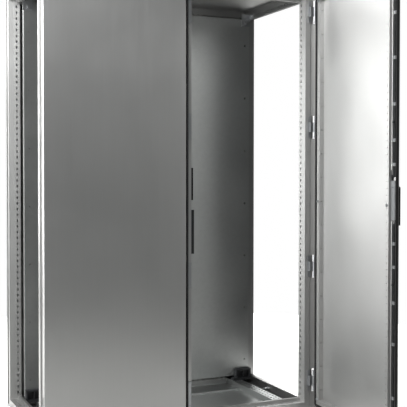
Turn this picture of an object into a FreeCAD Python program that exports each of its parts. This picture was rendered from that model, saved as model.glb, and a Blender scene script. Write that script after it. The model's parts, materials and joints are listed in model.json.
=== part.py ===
"""Free-standing switchboard cabinet with two hinged doors and open sides.

Row frame: millimetres, X to the right, Y to the back, +Z up. The origin is the centre of
the carcass on the floor. The left door is closed and the right door stands open.
"""
import FreeCAD, Part
import math
import os

os.makedirs("parts", exist_ok=True)
V = FreeCAD.Vector

# ---- driving dimensions -----------------------------------------------------------------
width = 1200.0              # carcass, outer face to outer face along X
depth = 600.0               # carcass, front plane to rear plane
height = 1800.0             # floor to the top of the roof sheet
listed_height = 1800.0      # height for which the lists of heights below are given
rise = height / listed_height
post = 50.0                 # side of a corner post's section
post_wall = 1.5             # sheet of posts and rails
recess_width = 26.0         # stepped-back strip along a post's outer corner
recess_depth = 8.0
rail_lip = 32.5             # height of a rail at the carcass's outer plane
rail_rib = 45.0             # height of a rail's inner rib
rib_width = 12.0
ledge = 12.0                # flange that carries the bottom plates
ledge_thick = 2.0
pitch = 25.0                # spacing of the punched slots
first_slot = 62.5           # height of the lowest slot
slot_width = 7.0
slot_length = 12.0
slot_inset = 35.0           # slot column, from the outer plane
small_hole_r = 2.2
small_hole_inset = 39.0
small_hole_pitch = 115.0
roof_sheet = 1.5
roof_seal = 1.5             # compressed gasket under the roof
panel_sheet = 1.5           # door shells, rear panel, bottom plates
panel_edge_gap = 2.0        # panels and doors end short of the carcass
rear_fold = 16.0            # depth of the rear panel's folded edge
door_depth = 24.0           # outer face of a door to the end of its folded edge
door_stand_off = 25.0       # outer face of a door to the carcass's front plane
door_top_gap = 3.0
rebate_edge = 12.0          # X where the left door's rebate ends
rebate_start = -18.0        # X where the left door's face steps back
rebate_step = 16.0
door_overlap_edge = -15.0   # X of the right door's free edge, door closed
free_fold = 14.0            # depth of the fold along the right door's free edge
rib_height = 10.0           # gasket channel pressed on the inside of a door
gasket_gap = 0.3            # clearance of a door's gasket to what it seals on
gasket_width = 10.0
post_rib_inset = 38.0       # gasket channel on the hinge side, from the door's edge
rail_rib_inset = 20.0       # gasket channel at the top and bottom
free_rib_inset = 29.5       # gasket channel on the free side
free_rib_width = 5.0
tube = 20.0                 # side of the door frame's tube
tube_wall = 1.5
tube_gap = 6.0              # gasket channel to door frame, along a post
tube_rail_gap = 4.0         # the same at the top and bottom
tube_free_gap = 1.5         # the same at the free side
hinge_inset = 12.0          # hinge axis, from the door's edge and from its face
hinge_heights = tuple(rise * z for z in (127.0, 619.0, 1215.0, 1705.0))
hinge_length = 88.0
knuckle_r = 6.0
knuckle_length = 40.0       # middle knuckle, on the carcass
knuckle_gap = 0.5
pin_r = 3.0
pin_play = 0.05             # radial play of the pin in the middle knuckle
pin_seat = 0.02             # radial play of the pin in the door's knuckles
open_angle = 87.0           # right door at rest, degrees from closed
keeper_heights = tuple(rise * z for z in (125.0, 608.0, 1205.0, 1669.0))
keeper_length = 105.0
plate_width = 1090.0        # mounting plate
plate_top_gap = 50.0        # upper edge of the mounting plate to the roof
plate_sheet = 3.0
plate_fold = 20.0
plate_setback = 500.0       # front plane to the mounting plate's face
plate_foot_top = 83.0
plate_low = 50.0            # lower edge of the mounting plate
plate_foot_width = 77.0
slide_top = 30.0            # top of the floor slides
slide_width = 48.0
slide_x = 476.0             # middle of the right floor slide
slide_wall = 2.0
hub_z = rise * 965.0        # axis of the handle's hub
case_drop, case_rise = 118.0, 25.0    # lock case, below and above the hub's axis
case_inset = 12.0           # lock case, from the door's free edge
case_cover = 2.5            # lock case's sheet and air behind the rods
case_bottom, case_top = hub_z - case_drop, hub_z + case_rise
pinion_r = 7.5
rod_size = 5.0
grip_length = 138.0
grip_width = 22.0
handle_play = 0.5
slave_pinion_r = 6.5
slave_axis_z = hub_z - 103.0
slave_x = -3.0
slave_case_bottom, slave_case_top = slave_axis_z - 12.0, slave_axis_z + 198.0
slave_bar_bottom = slave_axis_z - 170.0
anchor_hole_r = 6.5
m8_flats, m8_head = 13.0, 5.5         # hexagon across flats and head height
m12_flats, m12_head = 18.0, 7.0
m6_flats, m6_nut = 10.0, 4.0
guide_play = 0.2                      # a rod in its guides, each side
rod_inset = 23.75                      # hub's axis, from the right door's free edge
rod_room = 4.0                        # plane a door's rods run behind, to the rods
lifting_thread_r = 6.0

half_w = width / 2.0
half_d = depth / 2.0
front = -half_d                       # front plane of the carcass
carcass_top = height - roof_sheet - roof_seal
door_face = front - door_stand_off    # outer face of a closed door
door_inner = door_face + panel_sheet
door_low = door_top_gap
door_high = carcass_top
door_edge = half_w - 1.0              # hinge-side edge of a door
hinge_x = door_edge - hinge_inset
hinge_y = door_face + hinge_inset
rod_x = door_overlap_edge + rod_inset
rod_front = door_face + rod_room      # front of the right door's rods
rebate_face = door_face + rebate_step


# ---- small helpers ----------------------------------------------------------------------
def box(x0, x1, y0, y1, z0, z1):
    """Block between two corners."""
    return Part.makeBox(x1 - x0, y1 - y0, z1 - z0, V(x0, y0, z0))


def cyl(radius, length, base, direction):
    """Round bar from a base point."""
    return Part.makeCylinder(radius, length, base, direction)


def fuse(shapes):
    """One solid from touching pieces."""
    return shapes[0].multiFuse(shapes[1:]).removeSplitter() if len(shapes) > 1 else shapes[0]


def cut(shape, tools):
    """Shape less a list of tools."""
    return shape.cut(Part.makeCompound(tools))


def flip(shape, normal):
    """Mirror image through the origin."""
    return shape.mirror(V(0, 0, 0), normal)


def polygon(points):
    """Flat face from corner vectors."""
    return Part.Face(Part.makePolygon(points + [points[0]]))


def plan(points, z0, z1):
    """Prism standing on an outline given as (x, y) pairs."""
    return polygon([V(x, y, z0) for x, y in points]).extrude(V(0, 0, z1 - z0))


def slot_tool(centre, across, along, through, wide=slot_width, long=slot_length):
    """Rounded slot cutter: centre, width direction, length direction, depth vector."""
    r = wide / 2.0
    half = long / 2.0 - r
    a, b = across * r, along * half
    start, end = centre - b, centre + b
    edges = [Part.makeLine(start - a, end - a),
             Part.Arc(end - a, end + along * r, end + a).toShape(),
             Part.makeLine(end + a, start + a),
             Part.Arc(start + a, start - along * r, start - a).toShape()]
    return Part.Face(Part.Wire(edges)).extrude(through)


def span(start, end, step):
    """Evenly spaced values from start to at most end."""
    return [start + step * k for k in range(int((end - start) / step + 1e-6) + 1)]


def centred(length, step, margin):
    """Positions spread evenly about zero, at least a margin from both ends."""
    count = int((length - 2 * margin) / step + 1e-6)
    return [step * (k - count / 2.0) for k in range(count + 1)]


def hexagon(across_flats, thick, base, direction):
    """Hexagonal nut or bolt head from a base point along a direction."""
    r = across_flats / math.sqrt(3.0)
    side = V(1, 0, 0) if abs(direction.x) < 0.5 else V(0, 1, 0)
    other = direction.cross(side)
    corners = [base + side * (r * math.cos(math.radians(60 * k)))
               + other * (r * math.sin(math.radians(60 * k))) for k in range(6)]
    return polygon(corners).extrude(direction * thick)


right_turn = FreeCAD.Placement(V(0, 0, 0), FreeCAD.Rotation(V(0, 0, 1), open_angle),
                               V(hinge_x, hinge_y, 0))


def save(node, shapes, swing=False):
    """Write one node; pieces of the right door are turned to its open position first."""
    whole = Part.makeCompound(shapes) if isinstance(shapes, list) else shapes
    if swing:
        whole.Placement = right_turn.multiply(whole.Placement)
    whole.exportStep("parts/%s.step" % node)
    print("%-22s %3d solids, valid %s" % (node, len(whole.Solids), whole.isValid()))


# ---- corner posts -----------------------------------------------------------------------
def make_post():
    """Front left post: an L-shaped tube with slots in both faces that look inwards."""
    w, r, d, t = post, recess_width, recess_depth, post_wall
    outline = [(0, r), (d, r), (d, d), (r, d), (r, 0), (w, 0), (w, w), (0, w)]
    hollow = [(t, r + t), (d + t, r + t), (d + t, d + t), (r + t, d + t), (r + t, t),
              (w - t, t), (w - t, w - t), (t, w - t)]
    body = plan(outline, 0, carcass_top).cut(plan(hollow, -1, carcass_top + 1))
    tools = []
    for z in span(first_slot, carcass_top - post, pitch):
        tools.append(slot_tool(V(w - 2 * t, slot_inset, z), V(0, 1, 0), V(0, 0, 1),
                               V(3 * t, 0, 0)))
        tools.append(slot_tool(V(slot_inset, w - 2 * t, z), V(1, 0, 0), V(0, 0, 1),
                               V(0, 3 * t, 0)))
    for z in span(first_slot + pitch / 2, carcass_top - post, small_hole_pitch):
        tools.append(cyl(small_hole_r, 2 * t, V(-t / 2, small_hole_inset, z), V(1, 0, 0)))
        tools.append(cyl(small_hole_r, 2 * t, V(small_hole_inset, -t / 2, z), V(0, 1, 0)))
    body = cut(body, tools)
    body.translate(V(-half_w, front, 0))
    return body


# ---- rails ------------------------------------------------------------------------------
rail_slot_shift = 15.0                # a rail's upper slots lie nearer its outer plane


def make_rail(length, along):
    """Bottom rail of the front (along X) or the left side (along Y), with two slot rows."""
    t = post_wall
    outline = [(0, 0), (post, 0), (post, rail_rib), (post - rib_width, rail_rib),
               (post - rib_width, rail_lip), (0, rail_lip)]
    hollow = [(t, t), (post - t, t), (post - t, rail_rib - t),
              (post - rib_width + t, rail_rib - t), (post - rib_width + t, rail_lip - t),
              (t, rail_lip - t)]
    half = length / 2.0
    outer = polygon([V(-half, v, w) for v, w in outline]).extrude(V(length, 0, 0))
    inner = polygon([V(-half - 1, v, w) for v, w in hollow]).extrude(V(length + 2, 0, 0))
    ledge_half = half if along == "X" else half - ledge
    shelf = box(-ledge_half, ledge_half, post, post + ledge, 0, ledge_thick)
    body = fuse([outer.cut(inner), shelf])
    tools = []
    for x in centred(length, pitch, pitch):
        tools.append(slot_tool(V(x, slot_inset - rail_slot_shift, rail_lip - 2 * t),
                               V(0, 1, 0), V(1, 0, 0), V(0, 0, 3 * t)))
        tools.append(slot_tool(V(x, post - 2 * t, rail_lip), V(0, 0, 1), V(1, 0, 0),
                               V(0, 3 * t, 0)))
    body = cut(body, tools)
    if along == "X":
        body.translate(V(0, front, 0))
    else:
        body.rotate(V(0, 0, 0), V(0, 0, 1), -90)
        body.translate(V(-half_w, 0, 0))
    return body


def to_top(shape):
    """A bottom rail turned over to the top of the carcass."""
    copy = flip(shape, V(0, 0, 1))
    copy.translate(V(0, 0, carcass_top))
    return copy


post_shape = make_post()
save("post_front_left", post_shape)
save("post_front_right", flip(post_shape, V(1, 0, 0)))
save("post_rear_left", flip(post_shape, V(0, 1, 0)))
save("post_rear_right", flip(flip(post_shape, V(0, 1, 0)), V(1, 0, 0)))

rail_front = make_rail(width - 2 * post, "X")
rail_left = make_rail(depth - 2 * post, "Y")
save("rail_bottom_front", rail_front)
save("rail_bottom_rear", flip(rail_front, V(0, 1, 0)))
save("rail_bottom_left", rail_left)
save("rail_bottom_right", flip(rail_left, V(1, 0, 0)))
save("rail_top_front", to_top(rail_front))
save("rail_top_rear", to_top(flip(rail_front, V(0, 1, 0))))
save("rail_top_left", to_top(rail_left))
save("rail_top_right", to_top(flip(rail_left, V(1, 0, 0))))

# ---- corner blocks: anchor holes below, lifting threads above ---------------------------
block_low = recess_depth + post_wall
block_high = post - post_wall
block_mid = (block_low + block_high) / 2.0
block_x = half_w - block_mid
block_y = half_d - block_mid
block_height = 20.0


def corner_block(sx, sy, z0, hole_r):
    """Bored block that fills the inside of a post's end."""
    size = block_high - block_low
    body = box(-size / 2, size / 2, -size / 2, size / 2, z0, z0 + block_height)
    body = body.cut(cyl(hole_r, block_height + 2, V(0, 0, z0 - 1), V(0, 0, 1)))
    body.translate(V(sx * block_x, sy * block_y, 0))
    return body


corners = [(sx, sy) for sx in (-1, 1) for sy in (-1, 1)]
save("corner_blocks_base", [corner_block(sx, sy, 0, anchor_hole_r) for sx, sy in corners])
save("corner_blocks_top", [corner_block(sx, sy, carcass_top - block_height, lifting_thread_r)
                           for sx, sy in corners])

# ---- roof -------------------------------------------------------------------------------
roof_hole_r = lifting_thread_r + 0.5
roof_side = panel_edge_gap
roof_low = carcass_top + roof_seal
roof = box(-half_w + roof_side, half_w - roof_side, front + roof_side, half_d - roof_side,
           roof_low, height)
roof = cut(roof, [cyl(roof_hole_r, 3 * roof_sheet, V(sx * block_x, sy * block_y, roof_low - 1),
                      V(0, 0, 1)) for sx, sy in corners])
save("roof_panel", roof)

seal_in = 30.0
seal_out = seal_in + gasket_width
roof_ring = box(-half_w + seal_in, half_w - seal_in, front + seal_in, half_d - seal_in,
                carcass_top, roof_low)
roof_ring = roof_ring.cut(box(-half_w + seal_out, half_w - seal_out, front + seal_out,
                              half_d - seal_out, carcass_top - 1, roof_low + 1))
roof_ring = cut(roof_ring, [cyl(lifting_thread_r + 3, 4, V(sx * block_x, sy * block_y,
                                                          carcass_top - 1), V(0, 0, 1))
                            for sx, sy in corners])
save("roof_gasket", roof_ring)

washer_r = 12.0
washer_thick = 2.0
thread_play = 0.1
roof_bolts = []
for sx, sy in corners:
    at = V(sx * block_x, sy * block_y, height)
    washer = cyl(washer_r, washer_thick, at, V(0, 0, 1))
    head = hexagon(m12_flats, m12_head, at + V(0, 0, washer_thick), V(0, 0, 1))
    shank = cyl(lifting_thread_r - thread_play, block_height, at - V(0, 0, block_height),
                V(0, 0, 1))
    roof_bolts.append(fuse([washer, head, shank]))
save("roof_bolts", roof_bolts)

# ---- rear panel -------------------------------------------------------------------------
rear_start = half_d + panel_edge_gap
rear_outer = rear_start + rear_fold
rear_inner = rear_outer - panel_sheet
rear_x = half_w - panel_edge_gap
rear_low, rear_high = panel_edge_gap, height - panel_edge_gap * 2
rear_rib_in, rear_rib_out = rail_rib_inset, rail_rib_inset + gasket_width


def ring_y(x0, x1, z0, z1, inset_out, inset_in, y0, y1):
    """Rectangular frame lying in a door or panel, between two insets from its edges."""
    outer = box(x0 + inset_out, x1 - inset_out, y0, y1, z0 + inset_out, z1 - inset_out)
    return outer.cut(box(x0 + inset_in, x1 - inset_in, y0 - 1, y1 + 1, z0 + inset_in,
                         z1 - inset_in))


rear_rib_depth = 6.0
rear_tray = box(-rear_x, rear_x, rear_start, rear_outer, rear_low, rear_high)
rear_tray = rear_tray.cut(box(-rear_x + panel_sheet, rear_x - panel_sheet, half_d, rear_inner,
                              rear_low + panel_sheet, rear_high - panel_sheet))
rear_rib = ring_y(-rear_x, rear_x, rear_low, rear_high, rear_rib_in, rear_rib_out,
                  rear_inner - rear_rib_depth, rear_inner)
screw_r = 3.0
screw_inset = 11.0
screw_end = 60.0                      # lowest and highest screw, from floor and roof
screw_rows = 7
screw_step = (height - 2 * screw_end) / (screw_rows - 1)
screw_points = [(sx * (rear_x - screw_inset), screw_end + screw_step * k) for sx in (-1, 1)
                for k in range(screw_rows)]
screw_hole_play = 0.3
screw_head_r, screw_head = 6.0, 3.0
screw_socket = 4.0
rear_panel = fuse([rear_tray, rear_rib])
rear_panel = cut(rear_panel, [cyl(screw_r + screw_hole_play, 4 * panel_sheet,
                                  V(x, rear_inner - panel_sheet, z), V(0, 1, 0))
                              for x, z in screw_points])
save("rear_panel", rear_panel)
save("rear_gasket", ring_y(-rear_x, rear_x, rear_low, rear_high, rear_rib_in, rear_rib_out,
                           half_d + gasket_gap, rear_inner - rear_rib_depth))
rear_screws = []
for x, z in screw_points:
    head = cyl(screw_head_r, screw_head, V(x, rear_outer, z), V(0, 1, 0))
    socket = hexagon(screw_socket, screw_head, V(x, rear_outer + screw_head / 2, z), V(0, 1, 0))
    shank = cyl(screw_r, rear_fold - 1.0, V(x, rear_start + 1.0, z), V(0, 1, 0))
    rear_screws.append(fuse([head, shank]).cut(socket))
save("rear_screws", rear_screws)

# ---- mounting plate ---------------------------------------------------------------------
plate_y = front + plate_setback
plate_x = plate_width / 2.0
plate_high = height - plate_top_gap
plate_back = plate_y + plate_sheet + plate_fold
plate = box(-plate_x, plate_x, plate_y, plate_back, plate_low, plate_high)
plate = plate.cut(box(-plate_x + plate_sheet, plate_x - plate_sheet, plate_y + plate_sheet,
                      plate_back + 1, plate_low + plate_sheet, plate_high - plate_sheet))
plate_hole_inset = 22.0
plate_hole_r = 4.5
plate_hole_first = 75.0
plate_hole_pitch = 250.0
plate_hole_end = 60.0
plate_holes = [V(sx * (plate_x - plate_hole_inset), plate_y - 1, z) for sx in (-1, 1)
               for z in span(plate_low + plate_hole_first, plate_high - plate_hole_end,
                             plate_hole_pitch)]
plate = cut(plate, [cyl(plate_hole_r, plate_sheet + 2, p, V(0, 1, 0)) for p in plate_holes])
save("mounting_plate", plate)


# ---- plate feet, brackets and floor slides ----------------------------------------------
foot_depth = 22.0
foot_front = plate_y - foot_depth
foot_wall = 8.0
foot_web = 4.0
flange_thick = 12.0
flange_top = slide_top + flange_thick
toe_gap = 3.0
plate_fit = 0.2


def plate_foot(side):
    """Black plastic glide that cups the plate's lower corner and stands on a floor slide."""
    x1 = plate_x + 2.0 - plate_fit
    x0 = x1 - plate_foot_width
    y1 = plate_y - plate_fit
    body = box(x0, x1, foot_front, y1, slide_top, plate_foot_top)
    toe = box(x0, x1, y1, plate_back - toe_gap, slide_top, plate_low - plate_fit)
    flange = box(slide_x - slide_width / 2, x0, foot_front, y1, slide_top, flange_top)
    inner_y = plate_y - foot_wall
    hollow = box(x0 + foot_wall, x1 - foot_wall, foot_front - 1, inner_y, flange_top,
                 plate_foot_top - foot_wall)
    web_x = (x0 + x1) / 2.0
    web = box(web_x - foot_web / 2, web_x + foot_web / 2, foot_front + 2, inner_y, flange_top,
              plate_foot_top - foot_wall)
    body = fuse([fuse([body, toe, flange]).cut(hollow), web])
    return body if side > 0 else flip(body, V(1, 0, 0))


save("plate_feet", [plate_foot(-1), plate_foot(1)])

bracket_thick = 3.0
tab_width = 40.0
tab_drop = 34.0                       # how far a tab reaches down over the plate
bracket_top = 22.0                    # below the top of the carcass
leg_depth = 33.0
leg_bolt = 18.0                       # bolt in the leg, in front of the plate's face


def plate_bracket(side):
    """Angle that holds an upper corner of the plate to the top rail of the side."""
    z_high = carcass_top - bracket_top
    y_back = plate_y - plate_fit
    tab = box(plate_x - tab_width, half_w - post, y_back - bracket_thick, y_back,
              plate_high - tab_drop, z_high)
    leg = box(half_w - post - bracket_thick, half_w - post, plate_y - leg_depth, y_back,
              carcass_top - rail_rib, z_high)
    body = fuse([tab, leg])
    return body if side > 0 else flip(body, V(1, 0, 0))


save("plate_brackets", [plate_bracket(-1), plate_bracket(1)])

bracket_bolts = []
for side in (-1, 1):
    bolt_at = V(side * (plate_x - tab_width / 2), plate_y - plate_fit - bracket_thick,
                plate_high - tab_drop / 2)
    bracket_bolts.append(hexagon(m8_flats, m8_head, bolt_at, V(0, -1, 0)))
    rail_at = V(side * (half_w - post - bracket_thick), plate_y - leg_bolt,
                carcass_top - leg_depth)
    bracket_bolts.append(hexagon(m8_flats, m8_head, rail_at, V(-side, 0, 0)))
save("plate_bolts", bracket_bolts)

slide_length = depth - 2 * post
slide_low = ledge_thick + panel_sheet
slide_row = 12.0                      # slot rows, either side of a slide's middle
slide_x0, slide_x1 = slide_x - slide_width / 2, slide_x + slide_width / 2
slide = box(slide_x0, slide_x1, -slide_length / 2, slide_length / 2, slide_low, slide_top)
slide = slide.cut(box(slide_x0 + slide_wall, slide_x1 - slide_wall, -slide_length / 2 - 1,
                      slide_length / 2 + 1, slide_low - 1, slide_top - slide_wall))
slide = cut(slide, [slot_tool(V(slide_x + dx, y, slide_top - 2 * slide_wall), V(1, 0, 0),
                              V(0, 1, 0), V(0, 0, 3 * slide_wall))
                    for dx in (-slide_row, slide_row)
                    for y in centred(slide_length, pitch, slot_length)])
save("floor_slides", [slide, flip(slide, V(1, 0, 0))])

# ---- bottom plates and the foam strips beside the slides --------------------------------
sheet_gap = 1.0
bottom_x = half_w - post - sheet_gap
bottom_y = half_d - post - sheet_gap
bottom_seam = 110.0                   # Y where the front plate ends
bottom_lip = 8.0


def bottom_plate(y0, y1):
    """Sheet with turned-up long edges between the slides, lying on the rails' ledges."""
    sheet = box(-bottom_x, bottom_x, y0, y1, ledge_thick, slide_low)
    lip_x = slide_x0 - 2 * sheet_gap
    lips = [box(-lip_x, lip_x, y, y + panel_sheet, ledge_thick, ledge_thick + bottom_lip)
            for y in (y0, y1 - panel_sheet)]
    return fuse([sheet] + lips)


save("bottom_plate_front", bottom_plate(-bottom_y, bottom_seam))
save("bottom_plate_rear", bottom_plate(bottom_seam + sheet_gap, bottom_y))

seal_height = 8.0
floor_seal = box(slide_x1 + gasket_gap, bottom_x, -bottom_y, bottom_y, slide_low,
                 slide_low + seal_height)
save("floor_seals", [floor_seal, flip(floor_seal, V(1, 0, 0))])

# ---- earth studs ------------------------------------------------------------------------
stud_r = 4.0
stud_length = 22.0
stud_height = 23.0
stud_nut = 6.0
stud_washer_r, stud_washer = 8.0, 1.5
earth_studs = []
for side in (-1, 1):
    base = V(side * (half_w - post), side * pitch / 2, stud_height)
    inward = V(-side, 0, 0)
    earth_studs.append(fuse([cyl(stud_r, stud_length, base, inward),
                             hexagon(m8_flats, stud_nut, base, inward),
                             cyl(stud_washer_r, stud_washer, base + inward * stud_nut, inward)]))
save("earth_studs", earth_studs)

# ---- hinges -----------------------------------------------------------------------------
bracket_x0 = half_w - post_rib_inset + sheet_gap
bracket_x1 = half_w - recess_width
leaf_thick = 3.0
arm_start = 4.0
pin_head_r, pin_head = 4.5, 2.0
leaf_x0, leaf_x1 = hinge_x - 2 * hinge_inset, hinge_x - 2.0
web_x0 = hinge_x - hinge_inset
half_hinge = hinge_length / 2.0


def hinge_bracket(z):
    """Carcass side of a right-hand hinge: base on the sealing face, arm, middle knuckle."""
    base = box(bracket_x0, bracket_x1, front - leaf_thick, front, z - half_hinge, z + half_hinge)
    arm = box(bracket_x0 + arm_start, hinge_x, hinge_y - leaf_thick, front,
              z - knuckle_length / 2, z + knuckle_length / 2)
    knuckle = cyl(knuckle_r, knuckle_length, V(hinge_x, hinge_y, z - knuckle_length / 2),
                  V(0, 0, 1))
    corner = box(hinge_x - 1.0, hinge_x + knuckle_r + 1, hinge_y + knuckle_r - 0.5, front + 1,
                 z - half_hinge, z + half_hinge)
    body = fuse([base, arm, knuckle]).cut(corner)
    return body.cut(cyl(pin_r + pin_play, hinge_length, V(hinge_x, hinge_y, z - half_hinge),
                        V(0, 0, 1)))


def hinge_leaf(z):
    """Door side of a right-hand hinge: leaf on the shell and the two outer knuckles."""
    pieces = [box(leaf_x0, leaf_x1, door_inner, door_inner + leaf_thick, z - half_hinge,
                  z + half_hinge)]
    for low, high in ((z - half_hinge, z - knuckle_length / 2 - knuckle_gap),
                      (z + knuckle_length / 2 + knuckle_gap, z + half_hinge)):
        pieces.append(box(web_x0, hinge_x, door_inner + leaf_thick, hinge_y, low, high))
        pieces.append(cyl(knuckle_r, high - low, V(hinge_x, hinge_y, low), V(0, 0, 1)))
    return fuse(pieces).cut(cyl(pin_r + pin_seat, hinge_length + 2,
                                V(hinge_x, hinge_y, z - half_hinge - 1), V(0, 0, 1)))


def hinge_pin(z):
    """Headed pin of one hinge."""
    shank = cyl(pin_r, hinge_length, V(hinge_x, hinge_y, z - half_hinge), V(0, 0, 1))
    head = cyl(pin_head_r, pin_head, V(hinge_x, hinge_y, z + half_hinge), V(0, 0, 1))
    return fuse([shank, head])


brackets = [hinge_bracket(z) for z in hinge_heights]
leaves = [hinge_leaf(z) for z in hinge_heights]
pins = [hinge_pin(z) for z in hinge_heights]
mirror_x = V(1, 0, 0)
save("hinge_brackets", brackets + [flip(s, mirror_x) for s in brackets])
save("hinge_leaves_left", [flip(s, mirror_x) for s in leaves])
save("hinge_pins_left", [flip(s, mirror_x) for s in pins])
save("hinge_leaves_right", leaves, swing=True)
save("hinge_pins_right", pins, swing=True)


# ---- doors, drawn right-handed and closed -----------------------------------------------
def inner_ring(free_x, out_hinge, out_rail, out_free, thick_hinge, thick_rail, thick_free, y0, y1):
    """Rectangular ring inside a door; insets and widths are set side by side."""
    outer = box(free_x + out_free, door_edge - out_hinge, y0, y1, door_low + out_rail,
                door_high - out_rail)
    return outer.cut(box(free_x + out_free + thick_free, door_edge - out_hinge - thick_hinge,
                         y0 - 1, y1 + 1, door_low + out_rail + thick_rail,
                         door_high - out_rail - thick_rail))


rib_end = door_inner + rib_height
hinge_notch = 4.0
notch_play = 5.0
notch_length = hinge_length + 2 * notch_play
weld_overlap = 0.2                    # fused pieces sink into each other this far
door_bend = 2.5


def door_shell(free_x, free_depth):
    """Folded tray with a gasket channel, notched where the hinge brackets reach in."""
    s = panel_sheet
    tray = box(free_x, door_edge, door_face, door_face + door_depth, door_low, door_high)
    tray = tray.makeFillet(door_bend, [e for e in tray.Edges if all(abs(v.Point.y - door_face) < 0.01
                                                              for v in e.Vertexes)])
    tools = [box(free_x + s, door_edge - s, door_inner, door_face + door_depth + 1,
                 door_low + s, door_high - s),
             box(free_x - 1, free_x + s + 0.5, door_face + free_depth, door_face + door_depth + 1,
                 door_low - 1, door_high + 1)]
    for z in hinge_heights:
        tools.append(box(door_edge - s - 1, door_edge + 1, door_face + hinge_notch,
                         door_face + door_depth + 1, z - notch_length / 2, z + notch_length / 2))
    rib = inner_ring(free_x, post_rib_inset, rail_rib_inset, free_rib_inset, gasket_width,
                     gasket_width, free_rib_width, door_inner - weld_overlap, rib_end)
    return fuse([cut(tray, tools), rib])


face_hole_r = 2.4                     # holes in the tube's face, one every slot pitch
side_hole_r = 3.2                     # holes in its inner side, one every four
frame_slot = 5.0
frame_margin = 5.0
nut_washer_r, nut_washer = 7.0, 1.2


def door_frame(free_x):
    """Punched tube that stiffens a door, open towards the shell."""
    out_hinge = post_rib_inset + gasket_width + tube_gap
    out_rail = rail_rib_inset + gasket_width + tube_rail_gap
    out_free = free_rib_inset + free_rib_width + tube_free_gap
    w = tube_wall
    outer = inner_ring(free_x, out_hinge, out_rail, out_free, tube, tube, tube,
                       door_inner, door_inner + tube)
    hollow = inner_ring(free_x, out_hinge + w, out_rail + w, out_free + w, tube - 2 * w,
                        tube - 2 * w, tube - 2 * w, door_inner - 1, door_inner + tube - w)
    body = outer.cut(hollow)
    x_free = free_x + out_free
    x_hinge = door_edge - out_hinge
    z_low, z_high = door_low + out_rail, door_high - out_rail
    z_mid = (z_low + z_high) / 2.0
    x_mid = (x_free + x_hinge) / 2.0
    y_cut = door_inner + tube - 3 * w
    tools = []
    for dz in centred(z_high - z_low, pitch, tube):
        for x in (x_free + tube / 2, x_hinge - tube / 2):
            tools.append(cyl(face_hole_r, 6 * w, V(x, y_cut, z_mid + dz), V(0, 1, 0)))
    for dx in centred(x_hinge - x_free, pitch, tube + frame_margin):
        for z in (z_low + tube / 2, z_high - tube / 2):
            tools.append(cyl(face_hole_r, 6 * w, V(x_mid + dx, y_cut, z), V(0, 1, 0)))
    for dz in centred(z_high - z_low, 4 * pitch, tube):
        for x in (x_free + tube - 2 * w, x_hinge - tube - w):
            tools.append(cyl(side_hole_r, 3 * w, V(x, door_inner + tube / 2, z_mid + dz), V(1, 0, 0)))
    for dx in centred(x_hinge - x_free, pitch, tube + frame_margin):
        tools.append(slot_tool(V(x_mid + dx, door_inner + tube / 2, z_low + tube - 2 * w),
                               V(0, 1, 0), V(1, 0, 0), V(0, 0, 3 * w), frame_slot, slot_length))
    return cut(body, tools)


def frame_nuts(free_x):
    """Nuts and washers that hold a door frame to the shell, near corners and mid height."""
    x_free = free_x + free_rib_inset + free_rib_width + tube_free_gap + tube / 2
    x_hinge = door_edge - post_rib_inset - gasket_width - tube_gap - tube / 2
    inset = rail_rib_inset + gasket_width + tube_rail_gap + tube / 2
    face = door_inner + tube
    nuts = []
    for x in (x_free, x_hinge):
        for z in (door_low + inset + pitch / 2, height / 2, door_high - inset - pitch / 2):
            nuts.append(fuse([cyl(nut_washer_r, nut_washer, V(x, face, z), V(0, 1, 0)),
                              hexagon(m6_flats, m6_nut, V(x, face + nut_washer, z),
                                      V(0, 1, 0))]))
    return nuts


def door_gasket(free_x):
    """Foamed strip on the gasket channel, facing the carcass."""
    ring = inner_ring(free_x, post_rib_inset, rail_rib_inset, free_rib_inset, gasket_width,
                      gasket_width, free_rib_width, rib_end, front - gasket_gap)
    side = box(free_x, free_x + free_rib_inset + free_rib_width, rib_end - 1, front,
               door_low, door_high)
    return ring.cut(side)


rod_split = 14.0                      # lock case to the wide part of a rod
right_free = door_overlap_edge
left_free = -rebate_start             # the left door is drawn as a right-hand door, then mirrored

# ---- right door -------------------------------------------------------------------------
tiny = 0.01
running_gap = 0.3                     # between parts of the lock that move past each other
case_x0 = door_overlap_edge + case_inset
case_x1 = door_overlap_edge + free_rib_inset + free_rib_width + tube_free_gap - 0.5
hub_r = 5.0
hub_play = 0.05
right_shell = door_shell(right_free, free_fold)
foot_thick = 8.0                      # rod's foot, which carries its rack
foot_margin = 16.0
lock_gap = box(case_x0, case_x1 + guide_play, door_inner, rib_end + 1, case_bottom - 2,
               case_top + rod_split + foot_thick + foot_margin)
rebate_room = box(right_free - 1, rebate_edge + 1.0, door_face + free_fold,
                  door_face + door_depth + 1, door_low - 1, door_high + 1)
right_shell = cut(right_shell, [lock_gap, rebate_room])
hub_bore = cyl(hub_r + hub_play, 2 * door_depth, V(rod_x, door_face - door_depth, hub_z),
               V(0, 1, 0))
right_shell = right_shell.cut(hub_bore)
save("right_door_shell", right_shell, swing=True)
save("right_door_gasket", door_gasket(right_free), swing=True)
save("right_door_frame", door_frame(right_free), swing=True)
save("right_frame_nuts", frame_nuts(right_free), swing=True)

trim_t = 0.8
trim_depth = 9.0
trim_end = 5.0
fold_end = door_face + free_fold
edge_trim = box(right_free - trim_t, right_free + panel_sheet + trim_t, fold_end - trim_depth,
                fold_end + trim_t, door_low + trim_end, door_high - trim_end)
edge_trim = edge_trim.cut(box(right_free, right_free + panel_sheet, fold_end - trim_depth - 1,
                              fold_end, door_low, door_high))
save("edge_trim", edge_trim, swing=True)

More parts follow.
